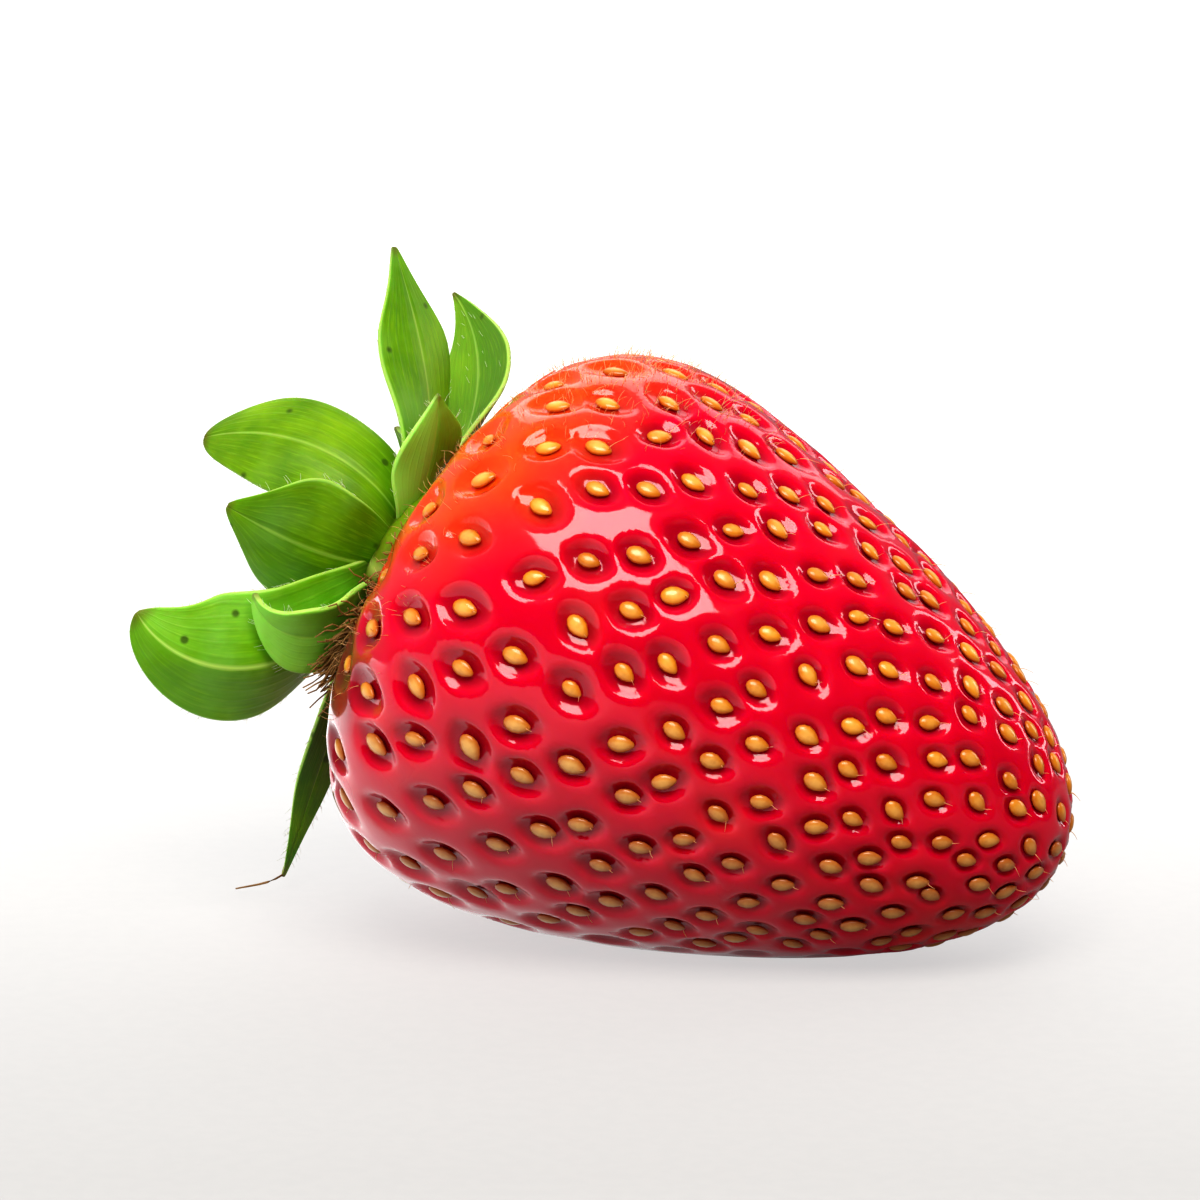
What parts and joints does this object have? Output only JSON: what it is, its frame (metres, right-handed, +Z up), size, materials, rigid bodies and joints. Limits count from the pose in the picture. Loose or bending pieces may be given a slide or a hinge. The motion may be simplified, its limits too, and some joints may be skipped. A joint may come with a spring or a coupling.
{
  "type": "strawberry",
  "caption": "Ripe strawberry lying on its side: a conical pitted red berry with raised achenes, a calyx of spread leaves and a short snapped stem stub.",
  "frame": {"origin": "middle of the small flat spot under the berry, on which it rests", "axes": "+Z up; +X level, from the calyx end towards the tip; the berry's own axis dips 20 degrees towards the tip"},
  "size_m": [0.0545, 0.0353, 0.0389],
  "materials": {
    "flesh": "glossy, wet-looking red skin with golden achenes in pits",
    "leaf": "soft green leaf with fine parallel veins",
    "stem": "torn brown-green stalk"
  },
  "bodies": {
    "root": {"berry": "flesh", "calyx": "leaf", "stem_stub": "stem"}
  },
  "joints": []
}
